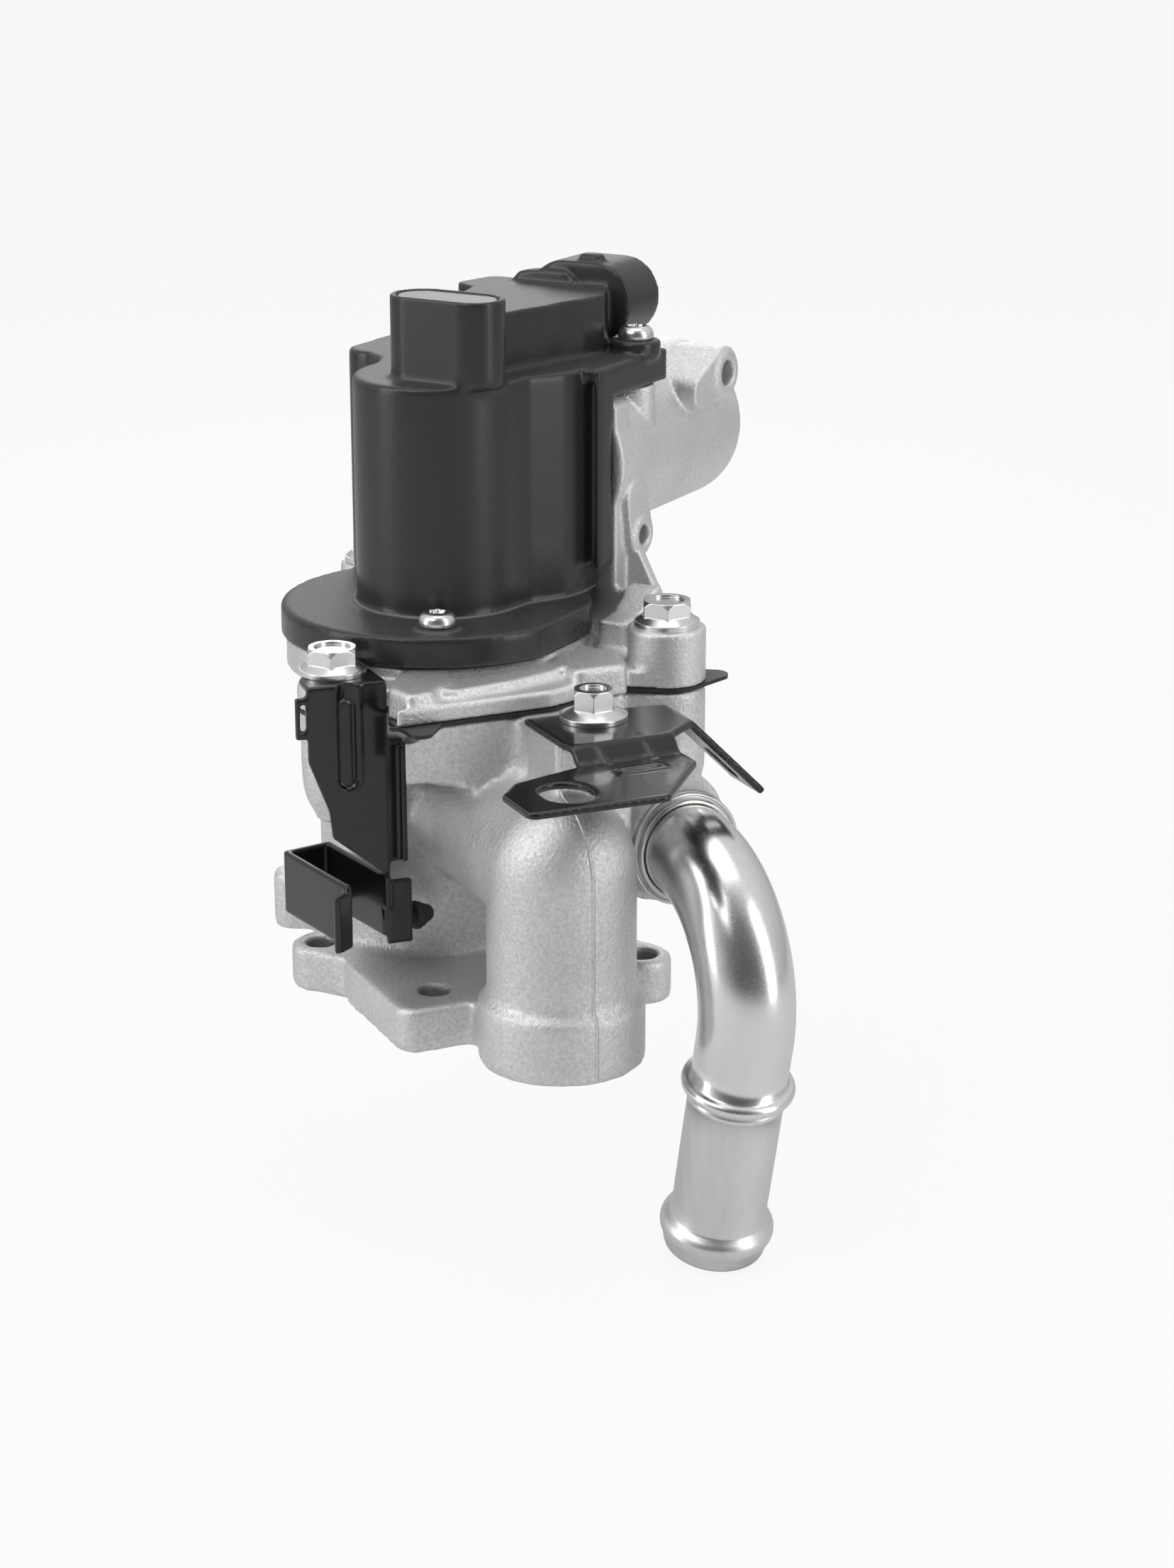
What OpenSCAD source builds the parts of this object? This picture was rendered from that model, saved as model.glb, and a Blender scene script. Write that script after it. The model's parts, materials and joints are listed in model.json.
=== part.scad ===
// Electric exhaust gas recirculation valve: cast body with a poppet valve,
// motor and gear actuator with a plastic cover, coolant pipe and two sheet brackets

/* [Gas body] */
// Radius of the body's main barrel
barrel_r = 26.8; // [26:0.2:28]
// Thickness of the foot flange
foot_h = 10; // [8:0.5:12]
// Radius of the gas inlet bore
inlet_r = 15; // [14.5:0.1:16]
// Direction of the gas outlet and of the coolant pipe, about the valve axis
port_az = -35.4; // [-37:0.2:-34]
// Distance of the gas outlet from the valve axis
outlet_u = 65.5; // [64.5:0.5:67]
// Outer radius of the outlet tube
outlet_r = 15.7; // [15.2:0.1:16]
// Bore radius of the outlet tube
outlet_bore_r = 12.7; // [12:0.1:13]
// Height of the elbow's centre line
elbow_z = 42; // [41:0.2:43]
// Height of the gasket plane above the foot
deck_z = 69.5; // [69:0.1:70]

/* [Poppet valve] */
// Radius of the valve stem
stem_r = 3; // [2.5:0.1:3.2]
// Radius of the opening in the valve seat
seat_bore_r = 11.5; // [10.5:0.1:12]
// Height of the underside of the seat ring
seat_z = 20; // [19:0.2:21]
// Thickness of the seat ring
seat_h = 5; // [4:0.2:6]
// Wire radius of the return spring
spring_wire_r = 0.7; // [0.5:0.05:0.8]
// Stroke of the valve from closed to open
lift = 5.5; // [4.5:0.1:5.5]

/* [Gear train] */
// Module of the motor stage
module_a = 0.7; // [0.68:0.01:0.72]
// Module of the output stage
module_b = 0.8; // [0.78:0.01:0.81]
// Teeth of both pinions
pinion_teeth = 11; // [11:1:11]
// Teeth of the large wheel on the idler
wheel_teeth = 44; // [43:1:45]
// Teeth of the output wheel
output_teeth = 38; // [37:1:39]
// Height of the output shaft
output_z = 94; // [93.5:0.1:94.5]
// Travel of the cam groove for one turn of the output shaft
cam_lead = 18; // [17:0.2:19]
// Play of each tooth flank
backlash = 0.12; // [0.1:0.01:0.16]

/* [Motor] */
// Distance of the motor axis from the middle plane
motor_x = 12.4; // [12:0.1:12.8]
// Height of the motor axis
motor_z = 110.9; // [110.5:0.1:111.3]
// Radius of the motor pocket in the housing
pocket_r = 15.9; // [15.7:0.05:16]
// Wall around the motor pocket
pocket_wall = 3; // [2.6:0.1:3.2]
// Distance of the motor tube's far end from the valve axis
tube_end_y = 86; // [85:0.5:88]

/* [Cover] */
// Radius of the round front of the cover
front_r = 18.6; // [18.4:0.1:19]
// Wall of the cover
cover_wall = 2.1; // [1.8:0.1:2.2]
// Height of the top of the cover
cover_top_z = 134; // [133.5:0.1:135]
// Radius of the base flange of the cover
cover_flange_r = 34.2; // [33.8:0.1:35]
// Length of the oval tower
tower_l = 26.4; // [25:0.1:27]
// Width of the oval tower
tower_w = 13.5; // [13:0.1:14]
// Width of the connector shroud
plug_w = 25.7; // [25:0.1:26.5]
// Height of the connector shroud
plug_h = 17.5; // [17:0.1:18]

/* [Brackets and pipe] */
// Thickness of the bracket sheet
sheet_t = 1.6; // [1.4:0.1:1.8]
// Outer radius of the coolant pipe
pipe_r = 10.2; // [9.8:0.1:10.6]
// Wall of the coolant pipe
pipe_wall = 1.4; // [1:0.1:1.6]
// Bend radius of the coolant pipe's centre line
bend_r = 27; // [26.5:0.5:29]
// Angle of the pipe bend
bend_deg = 104; // [99:1:107]

/* [Hidden] */
$fn = 64;
over = 1;
fit = 0.05;
hair = 0.03;
gasket_t = 0.8;
base_z = deck_z + gasket_t;
base_top_z = base_z + 7;
cover_flange_h = 6.7;
cover_floor_z = base_top_z + cover_flange_h;
split_y = 26.6;
wall_y = split_y + 6.4;
top_sheet = 2.4;
inner_top_z = cover_top_z - top_sheet;
skirt_z = cover_top_z - 7.1;
tower_top_z = cover_top_z + 18;
lid_z = cover_top_z + 14.4;
box_h = 13;

// Flange bolts: place, and height of the seat under the head
bolt_at = [[0.5, -42], [52, 10], [-37.5, 32.7]];
bolt_seat_z = [base_z + 5.4 + sheet_t, base_z + 12, base_z + 10.5];
plate_h = 3.8;
bolt_r = 3;
boss_r = [7.6, 8.5, 8.2];
// Foot flange holes
foot_at = [[-14, -28], [23.4, -40.3], [51.5, 0.5], [-24, 24]];
foot_hole_r = 3.3;
// Outer edge of the deck and of the actuator flange, in port directions
deck_u = 46.8;
socket_r = outlet_r + 1.9;
socket_h = 14;
// Coolant boss beside the outlet, in port directions
coolant_v = 31.5;
coolant_z = 39.7;
coolant_u = 58.5;
coolant_boss_r = 15;
// Small bracket bolt, in port directions
small_bolt = [59.6, 10.1];

// Cam and follower
cam_turn = 360 * lift / cam_lead;
cam_r0 = 4.5;
roller_r = 2.2;
cam_r = cam_r0 + lift + roller_r + 1.4;
cam_y = 10.2;
cam_t = 5;
groove_t = 3.8;
roller_z = output_z - cam_r0;
shaft_r = 2.5;
output_y = 18.2;
output_t = 4;
plate_y = 15.6;
plate_t = 2;
wheel_y = 22.8;
wheel_t = 3;
// Gear centres, in the plane of the gear case
pin_r = module_a * pinion_teeth / 2;
wheel_r = module_a * wheel_teeth / 2;
small_r = module_b * pinion_teeth / 2;
out_r = module_b * output_teeth / 2;
motor_c = [motor_x, motor_z];
output_c = [0, output_z];
idler_c = third_corner(motor_c, output_c, pin_r + wheel_r, small_r + out_r);
post_at = [[-24.7, 120.5], [-21, 88], [19.2, 87.5]];

// Front and rear cover screws
front_screw = [14.5, -22.9];
rear_screw = [25.9, 43.1];
screw_r = 2;

// Where two circles about a and b meet, on the left of the way from a to b turned back
function third_corner(a, b, ra, rb) =
    let(d = norm(b - a), e = (b - a) / d, s = (ra * ra - rb * rb + d * d) / (2 * d), h = sqrt(ra * ra - s * s))
    a + s * e + h * [e[1], -e[0]];
function unit_at(a) = [cos(a), sin(a)];
function dir_deg(v) = atan2(v[1], v[0]);
function tangent_points(c1, r1, c2, r2) =
    let(v = c2 - c1, a = dir_deg(v), b = acos((r1 - r2) / norm(v)))
    [c1 + r1 * unit_at(a + b), c1 + r1 * unit_at(a - b), c2 + r2 * unit_at(a - b), c2 + r2 * unit_at(a + b)];
// From port directions to the part's own X and Y
function port_xy(p) = [p[0] * cos(port_az) - p[1] * sin(port_az), p[0] * sin(port_az) + p[1] * cos(port_az)];

// Two circles and the straight band between them, a hair narrower than tangent
module link2d(c1, r1, c2, r2) {
    polygon(tangent_points(c1, r1 - hair, c2, r2 - hair));
    translate(c1) circle(r1);
    translate(c2) circle(r2);
}

// Closed outline with round corners
module rounded_outline(pts, r) {
    polygon(pts);
    for (i = [0 : len(pts) - 1])
        link2d(pts[i], r, pts[(i + 1) % len(pts)], r);
}

module obround2d(l, w) {
    link2d([-(l - w) / 2, 0], w / 2, [(l - w) / 2, 0], w / 2);
}

// Turns a flat shape drawn in X and Z so that it stands at y0 and is t deep along Y
module standing(y0, t) {
    translate([0, y0 + t, 0]) rotate([90, 0, 0]) linear_extrude(t) children();
}

// Cylinder along Y
module rod_y(c, y0, y1, r) {
    translate([c[0], y0, c[1]]) rotate([-90, 0, 0]) cylinder(h = y1 - y0, r = r);
}

module in_port() {
    rotate([0, 0, port_az]) children();
}

// Cylinder along the port direction
module rod_u(v, z, u0, u1, r) {
    translate([u0, v, z]) rotate([0, 90, 0]) cylinder(h = u1 - u0, r = r);
}

// Involute of a circle at roll angle t
function involute(rb, t) = rb * [cos(t) + t * PI / 180 * sin(t), sin(t) - t * PI / 180 * cos(t)];
function turned(p, a) = [p[0] * cos(a) - p[1] * sin(a), p[0] * sin(a) + p[1] * cos(a)];
function roll_deg(rb, r) = sqrt(max(0, (r / rb) * (r / rb) - 1)) * 180 / PI;

// Flat spur wheel with a tooth at angle phase
module spur2d(m, teeth, phase, play) {
    rp = m * teeth / 2;
    rb = rp * cos(20);
    ra = rp + m;
    rf = rp - 1.25 * m;
    at_pitch = involute(rb, roll_deg(rb, rp));
    half = 90 / teeth - play / rp * 180 / PI + dir_deg(at_pitch);
    steps = 4;
    r_low = max(rb, rf + 0.01);
    flank = [for (i = [0 : steps]) involute(rb, roll_deg(rb, r_low + (ra - r_low) * i / steps))];
    tooth = concat(
        [rf * unit_at(-half)],
        [for (p = flank) turned(p, -half)],
        [for (i = [steps : -1 : 0]) turned([flank[i][0], -flank[i][1]], half)],
        [rf * unit_at(half)]);
    rotate([0, 0, phase])
        polygon([for (k = [0 : teeth - 1]) for (p = tooth) turned(p, k * 360 / teeth)]);
}

// Angle of a tooth of wheel 2 in mesh with wheel 1, whose own tooth is at phase1
function mesh_phase(c1, z1, phase1, c2, z2) =
    let(a = dir_deg(c2 - c1)) a + 180 + 180 / z2 - (phase1 - a) * z1 / z2;

motor_phase = 0;
wheel_phase = mesh_phase(motor_c, pinion_teeth, motor_phase, idler_c, wheel_teeth);
small_phase = 0;
output_phase = mesh_phase(idler_c, pinion_teeth, small_phase, output_c, output_teeth);

// Gas body

module foot_outline() {
    circle(barrel_r + 1.5);
    link2d([0, 0], 16, foot_at[0], 6.5);
    link2d([20, 0], 14, foot_at[2], 6.5);
    link2d([0, 0], 16, foot_at[3], 6.5);
    // Straight front edge from the left ear to the plate
    polygon([[foot_at[0][0], foot_at[0][1] - 6.5], [1, -33.4], [8, -20], [-14, -20]]);
    in_port() {
        rounded_outline([[20, -26], [48, -26], [48, -8], [20, -8]], 4.5);
        translate([20, -15]) square([outlet_u - 20, 30]);
    }
}

// Outline of the actuator flange and of the deck under it
module deck_outline(inset) {
    difference() {
        union() {
            in_port()
                rounded_outline([[8, -22], [41.8, -25.6], [41.8, 6], [34, 28], [2, 30], [-20, 14], [-20, -10]],
                    5 - inset);
            for (i = [0 : 2])
                link2d([0, 0], 20, bolt_at[i], boss_r[i] - inset);
        }
        // Room for the clip bracket's edge
        translate(bolt_at[0]) rotate(clip_dir) {
            translate([3.4, -20]) square([9.8 + inset, 12.2]);
            translate([8.4, -20]) square([4.8 + inset, 14]);
        }
    }
}

module body_solid() {
    linear_extrude(foot_h) foot_outline();
    cylinder(h = deck_z - 2, r = barrel_r);
    translate([0, 0, 54.5]) linear_extrude(deck_z - 54.5) deck_outline(0.6);
    for (i = [0 : 2])
        translate([bolt_at[i][0], bolt_at[i][1], 52]) {
            cylinder(h = deck_z - 52, r = boss_r[i]);
            sphere(r = boss_r[i]);
        }
    // Side pad over the foot
    translate([0, 0, foot_h - 2]) linear_extrude(13) link2d([0, 0], 8, [-28, -17], 5);
    in_port() {
        translate([outlet_u, 0, 0]) {
            cylinder(h = elbow_z, r = outlet_r);
            cylinder(h = socket_h, r = socket_r);
            translate([0, 0, elbow_z]) sphere(r = outlet_r);
        }
        rod_u(0, elbow_z, 0, outlet_u, outlet_r);
        // Pad under the hose bracket
        translate([deck_u - 8, -1, elbow_z]) cube([27, 17.6, deck_z - elbow_z]);
        // Coolant boss
        rod_u(coolant_v, coolant_z, 0, coolant_u - 8, coolant_boss_r);
        rod_u(coolant_v, coolant_z, 0, coolant_u, pipe_r + 2.6);
        translate([0, 0, coolant_z - 8]) cube([coolant_u - 16, coolant_v, 16]);
    }
}

module body_voids() {
    translate([0, 0, -over]) cylinder(h = seat_z + over, r = inlet_r);
    translate([0, 0, -over]) cylinder(h = foot_h + over, r = inlet_r + 1);
    translate([0, 0, seat_z - 0.01]) cylinder(h = seat_h + 0.02, r = inlet_r + 1.2);
    difference() {
        translate([0, 0, seat_z + seat_h]) cylinder(h = 54 - seat_z - seat_h, r = 19);
        translate([0, 0, 45]) cylinder(h = 10, r = 8.5);
    }
    in_port() {
        rod_u(0, elbow_z, 12, outlet_u, outlet_bore_r);
        translate([outlet_u, 0, elbow_z]) sphere(r = outlet_bore_r);
        translate([outlet_u, 0, -over]) cylinder(h = elbow_z + over, r = outlet_bore_r);
        translate([outlet_u, 0, -over]) cylinder(h = 12 + over, r = outlet_bore_r + 1.3);
        rod_u(coolant_v, coolant_z, 12.5, coolant_u + over, pipe_r - pipe_wall);
        rod_u(coolant_v, coolant_z, coolant_u - 12, coolant_u + over, pipe_r + fit);
        translate([20, coolant_v - 2, coolant_z]) cylinder(h = 59 - coolant_z, r = 6);
    }
    // Coolant ring round the stem guide
    difference() {
        translate([0, 0, 56.5]) cylinder(h = 6, r = 24);
        translate([0, 0, 56]) cylinder(h = 7, r = 13);
    }
    in_port() translate([12, 12, 57]) cube([14, 21, 5]);
    // Stem guide, seal and spring pocket
    translate([0, 0, 44]) cylinder(h = 30, r = 5 + fit);
    translate([0, 0, 64.3]) cylinder(h = 10, r = 10.5);
    for (p = foot_at)
        translate([p[0], p[1], -over]) cylinder(h = foot_h + 2 * over, r = foot_hole_r);
    for (p = bolt_at)
        translate([p[0], p[1], deck_z - 15]) cylinder(h = 15 + over, r = bolt_r);
    in_port() translate([small_bolt[0], small_bolt[1], deck_z - 10]) cylinder(h = 10 + over, r = bolt_r);
}

module lower_body() {
    color("silver") difference() {
        body_solid();
        body_voids();
        translate([0, 0, -20]) cylinder(h = 20, r = 90);
    }
}

module seat_ring() {
    color("dimgray") translate([0, 0, seat_z]) rotate_extrude()
        polygon([[seat_bore_r + 1.2, 0], [inlet_r + 1.2 - fit, 0], [inlet_r + 1.2 - fit, seat_h],
            [seat_bore_r, seat_h], [seat_bore_r, 1.2]]);
}

module stem_bush() {
    color("peru") translate([0, 0, 44]) difference() {
        cylinder(h = 20, r = 5);
        translate([0, 0, -over]) cylinder(h = 22, r = stem_r + fit);
    }
}

module stem_seal() {
    color("black") translate([0, 0, 64.4]) difference() {
        cylinder(h = 3, r = 5.4);
        translate([0, 0, -over]) cylinder(h = 5, r = stem_r + fit);
    }
}

stem_top_z = 96;

module valve_stem() {
    color("lightsteelblue") {
        translate([0, 0, seat_z - 1.5]) cylinder(h = stem_top_z - seat_z + 1.5, r = stem_r);
    }
}

module valve_disc() {
    color("slategray") translate([0, 0, seat_z]) difference() {
        rotate_extrude() polygon([[0, -4.5], [10, -4.5], [seat_bore_r + 1.7, -3], [seat_bore_r + 1.7, -1.2],
            [seat_bore_r + 0.6, -0.1], [seat_bore_r - 3, 0], [5, 2], [0, 2]]);
        translate([0, 0, -1.5]) cylinder(h = 5, r = stem_r);
    }
}

// Return spring between the deck and the retainer
spring_z0 = 64.3;
spring_z1 = 80.4;
spring_r = 8;

module return_spring() {
    turns = 5;
    steps = 4;
    length = spring_z1 - spring_z0 - 2 * spring_wire_r;
    reach = 360 * spring_wire_r * turns / length;
    function edge(i, s) = (spring_r + s * spring_wire_r * sqrt(1 - i * i / steps / steps)) * unit_at(reach * i / steps);
    color("gray") {
        // Closed end turns
        for (z = [spring_z0, spring_z1 - 2 * spring_wire_r])
            translate([0, 0, z + spring_wire_r]) rotate_extrude($fn = 32) translate([spring_r, 0]) circle(spring_wire_r, $fn = 8);
        // Working turns: a flat cut through the wire, raised while it turns
        translate([0, 0, spring_z0 + spring_wire_r]) linear_extrude(length, twist = -360 * turns, slices = turns * 16, $fn = 4)
            polygon(concat([for (i = [-steps : steps]) edge(i, 1)], [for (i = [steps - 1 : -1 : 1 - steps]) edge(i, -1)]));
    }
}

module spring_retainer() {
    color("gainsboro") translate([0, 0, spring_z1]) difference() {
        union() {
            cylinder(h = 1.6, r = 9.4);
            cylinder(h = 3.4, r = 5);
        }
        translate([0, 0, -over]) cylinder(h = 6, r = stem_r);
    }
}

module stem_yoke() {
    color("dimgray") difference() {
        union() {
            translate([0, 0, spring_z1 + 3.5]) cylinder(h = stem_top_z - spring_z1 - 4.5, r = 5.4);
            translate([-4, 0, roller_z - 4]) cube([8, 9.7, 8]);
        }
        translate([0, 0, spring_z1]) cylinder(h = 30, r = stem_r);
        rod_y([0, roller_z], 4.5, 12, 1.5);
    }
}

module roller_pin() {
    color("lightgray") rod_y([0, roller_z], 4.5, cam_y + groove_t - 0.2, 1.5 - 0.01);
}

module cam_roller() {
    color("silver") difference() {
        rod_y([0, roller_z], cam_y + 0.2, cam_y + groove_t - 0.2, roller_r);
        rod_y([0, roller_z], cam_y, cam_y + groove_t, 1.5);
    }
}

magnet_at = [7.5, -6];

module magnet_carrier() {
    color("black") difference() {
        union() {
            translate([0, 0, stem_top_z - 0.9]) linear_extrude(4) link2d([0, 0], 5.4, magnet_at, 3.4);
            translate([magnet_at[0], magnet_at[1], stem_top_z - 0.9]) cylinder(h = 30, r = 3.4);
        }
        translate([magnet_at[0], magnet_at[1], stem_top_z + 21]) cylinder(h = 10, r = 2.5);
        translate([0, 0, stem_top_z - 2]) cylinder(h = 3, r = stem_r);
    }
}

module sensor_magnet() {
    color("darkgray") translate([magnet_at[0], magnet_at[1], stem_top_z + 21]) cylinder(h = 8, r = 2.5);
}

// Groove whose distance from the shaft grows evenly with the angle
module cam_groove2d() {
    steps = 44;
    function radius_at(i) = cam_r0 + lift * i / steps;
    // The groove turns against the shaft
    function middle(i) = radius_at(i) * unit_at(-90 - cam_turn * i / steps);
    function side(i, s) =
        let(v = middle(i + 0.5) - middle(i - 0.5), n = [-v[1], v[0]] / norm(v)) middle(i) + s * (roller_r + 0.12) * n;
    polygon(concat([for (i = [0 : steps]) side(i, 1)], [for (i = [steps : -1 : 0]) side(i, -1)]));
    translate(middle(0)) circle(roller_r + 0.12);
    translate(middle(steps)) circle(roller_r + 0.12);
}

module cam_disc() {
    color("gray") difference() {
        union() {
            rod_y(output_c, cam_y, cam_y + cam_t, cam_r);
            rod_y(output_c, cam_y + cam_t, wall_y - 1.5, shaft_r);
        }
        translate([0, 0, output_z]) standing(cam_y - over, groove_t + over) cam_groove2d();
    }
}

module output_gear() {
    color("wheat") difference() {
        translate([0, 0, output_z]) standing(output_y, output_t) spur2d(module_b, output_teeth, output_phase, backlash);
        rod_y(output_c, output_y - over, output_y + output_t + over, shaft_r);
    }
}

module output_bush_rear() {
    color("peru") difference() {
        rod_y(output_c, split_y, wall_y - 1, 4);
        rod_y(output_c, split_y - over, wall_y, shaft_r + fit);
    }
}

module output_bush_front() {
    color("peru") difference() {
        rod_y(output_c, plate_y, output_y - 0.2, 4);
        rod_y(output_c, plate_y - over, output_y + over, shaft_r + fit);
    }
}

module gear_plate() {
    color("lightgray") difference() {
        union() {
            standing(plate_y, plate_t) {
                link2d(output_c, 7, post_at[1], 4);
                link2d(output_c, 7, post_at[2], 4);
                link2d(idler_c, 5, post_at[0], 4);
                link2d(output_c, 7, idler_c, 5);
            }
            for (p = post_at)
                rod_y(p, plate_y, split_y, 3);
        }
        rod_y(output_c, plate_y - over, plate_y + plate_t + over, 4);
        rod_y(idler_c, plate_y - over, plate_y + plate_t + over, 1.5);
        for (p = post_at) {
            rod_y(p, plate_y - over, split_y + over, 1.6);
            rod_y(p, plate_y - over, plate_y + 1.5, 2.5);
        }
    }
}

module gear_plate_screws() {
    color("silver") for (p = post_at) {
        rod_y(p, plate_y + 0.1, plate_y + 1.5, 2.4);
        rod_y(p, plate_y + 1, wall_y - 1.4, 1.55);
    }
}

module idler_gear() {
    color("wheat") difference() {
        translate([idler_c[0], 0, idler_c[1]]) {
            standing(wheel_y, wheel_t) spur2d(module_a, wheel_teeth, wheel_phase, backlash);
            standing(output_y, wheel_y - output_y) spur2d(module_b, pinion_teeth, small_phase, backlash);
        }
        rod_y(idler_c, output_y - over, wheel_y + wheel_t + over, 1.5 + fit);
    }
}

module idler_pin() {
    color("silver") rod_y(idler_c, plate_y, wall_y - 1.5, 1.5);
}

// Motor

can_r = pocket_r - 0.3;
can_y0 = 30;
can_y1 = tube_end_y - 6;

module motor_can() {
    color("gray") difference() {
        union() {
            rod_y(motor_c, can_y0, can_y1, can_r);
            rod_y(motor_c, can_y1, can_y1 + 2, 5);
        }
        rod_y(motor_c, can_y0 - over, can_y1 - 1.4, can_r - 1.4);
        rod_y(motor_c, can_y1 - 3, can_y1 + 0.8, 3.5);
    }
}

module motor_magnets() {
    color("dimgray") for (s = [0, 180])
        translate([motor_x, 40, motor_z]) rotate([-90, 0, 0]) rotate([0, 0, s - 65])
            rotate_extrude(angle = 130) translate([can_r - 4.4, 0]) square([2.9, 28]);
}

module motor_end_plate() {
    color("saddlebrown") difference() {
        union() {
            rod_y(motor_c, split_y + 0.6, can_y0, can_r);
            rod_y(motor_c, can_y0, can_y0 + 3, can_r - 1.5);
        }
        rod_y(motor_c, split_y, can_y0 + 4, 3.5);
        for (s = [-1, 1])
            translate([motor_x + s * 8 - 2, can_y0 + 1, motor_z - 2.5]) cube([4, 5, 5]);
        for (s = [-1, 1])
            rod_y(motor_c + s * 11 * unit_at(135), split_y, can_y0 + 4, 1.25);
    }
}

module motor_brushes() {
    color("black") for (s = [-1, 1])
        translate([motor_x + s * 7.6 - 2.3, can_y0 + 4.2, motor_z - 2]) cube([4.6, 4, 4]);
}

module motor_shaft() {
    color("lightsteelblue") rod_y(motor_c, wheel_y - 0.2, can_y1 - 0.4, 1.5);
}

module armature_core() {
    color("slategray") difference() {
        rod_y(motor_c, 43, 65, can_r - 5);
        for (k = [0 : 4])
            translate([motor_x, 0, motor_z]) rotate([0, 36 + k * 72, 0]) {
                translate([-0.9, 42, 5]) cube([1.8, 24, 8]);
                rod_y([0, 6.6], 42, 66, 2);
            }
        rod_y(motor_c, 42, 66, 1.5);
    }
}

module armature_windings() {
    color("orangered") difference() {
        for (y = [40.4, 65])
            rod_y(motor_c, y, y + 2.6, 8.8);
        rod_y(motor_c, 40, 70, 1.5);
    }
}

module commutator() {
    color("goldenrod") difference() {
        rod_y(motor_c, can_y0 + 3.4, 40.3, 5.2);
        rod_y(motor_c, can_y0, 41, 1.5);
    }
}

module motor_pinion() {
    color("goldenrod") difference() {
        translate([motor_x, 0, motor_z]) standing(wheel_y - 0.2, 3.4) spur2d(module_a, pinion_teeth, motor_phase, backlash);
        rod_y(motor_c, wheel_y - over, wheel_y + 4, 1.5);
    }
}

module motor_bearings() {
    color("silver") for (y = [split_y + 1.4, can_y1 - 2.6])
        difference() {
            rod_y(motor_c, y, y + 2.6, 3.5);
            rod_y(motor_c, y - over, y + 4, 1.5 + fit);
        }
}

module motor_washer() {
    color("silver") difference() {
        rod_y(motor_c, can_y1 + 0.1, can_y1 + 2.6, 14);
        rod_y(motor_c, can_y1 - over, can_y1 + 4, 10);
    }
}

module motor_screws() {
    color("silver") for (s = [-1, 1])
        rod_y(motor_c + s * 11 * unit_at(135), split_y + 0.8, can_y0 + 3.6, 1.2);
}

// Actuator housing

tube_r = pocket_r + pocket_wall;
lug_c = [73.4, 124.8];
lug_x = 33;
ear_c = [35.5, 94.5];
housing_right_x = 30;
housing_left_x = -33;

module housing_wall2d() {
    polygon([[housing_left_x + 5, base_z], [housing_right_x, base_z], [housing_right_x, skirt_z - 2.7],
        [housing_right_x - 3, skirt_z], [housing_left_x + 4, skirt_z], [housing_left_x, skirt_z - 4],
        [housing_left_x, 98], [housing_left_x + 5, 93]]);
}

module housing_solid() {
    translate([0, 0, base_z]) {
        linear_extrude(plate_h) deck_outline(0.4);
        cylinder(h = base_top_z - base_z, r = 33.2);
        // Raised middle, left terrace with a shallow pocket, right terrace
        linear_extrude(plate_h + 1.9) in_port()
            polygon([[10, -20], [40, -20], [43.9, -14], [42.3, 0], [38.6, 12], [30, 24], [10, 24]]);
        difference() {
            linear_extrude(plate_h + 2.6) in_port()
                rounded_outline([[30, -20], [38.8, -25.4], [44.2, -24], [43.6, -20.6], [38, -14.6], [30, -12]], 1.6);
            translate([bolt_at[0][0], bolt_at[0][1], plate_h]) cylinder(h = 10, r = 12);
        }
        linear_extrude(plate_h + 2.8) in_port()
            rounded_outline([[34, 14.6], [42, 15.4], [42, 24], [34, 27], [26, 22]], 2);
    }
    for (i = [0 : 2])
        translate([bolt_at[i][0], bolt_at[i][1], base_z])
            cylinder(h = bolt_seat_z[i] - base_z - (i == 0 ? sheet_t : 0), r = boss_r[i]);
    standing(split_y, wall_y - split_y) housing_wall2d();
    // Step block beside the cover's flange, rising towards the wall
    translate([33, 0, base_z]) rotate([90, 0, 90]) linear_extrude(7.4)
        polygon([[13.4, 0], [29.4, 0], [29.4, 15], [27, 14.4], [20, 10.4], [13.4, 9.8]]);
    translate([28, split_y, base_z]) cube([8, 2.4, 13.6]);
    // Gusset between the wall and the ear
    standing(wall_y - 1, 3) polygon([[24, base_z], [40.5, base_z], [40.5, 77], [33, 91], [24, 91]]);
    // Motor tube with a rounded end
    translate([motor_x, 0, motor_z]) rotate([-90, 0, 0]) rotate_extrude() {
        polygon([[0, split_y], [tube_r + 0.6, split_y], [tube_r, tube_end_y - 2], [tube_r - 2, tube_end_y], [0, tube_end_y]]);
        translate([tube_r - 2, tube_end_y - 2]) circle(2);
    }
    // Screw lug at the far end and its web
    translate([lug_x, 0, 0]) rotate([0, -90, 0]) linear_extrude(12) link2d([lug_c[1], lug_c[0]], 6.2, [motor_z + 11, 62], 4);
    // Lower ear
    translate([lug_x - 1, 0, 0]) rotate([0, -90, 0]) linear_extrude(9) link2d([ear_c[1], ear_c[0]], 5.2, [motor_z - 8, 33.5], 4.6);
    // Boss for the rear cover screw
    translate([rear_screw[0], rear_screw[1], motor_z + 5.1]) cylinder(h = skirt_z - 0.1 - motor_z - 5.1, r = 4.4);
}

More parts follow.
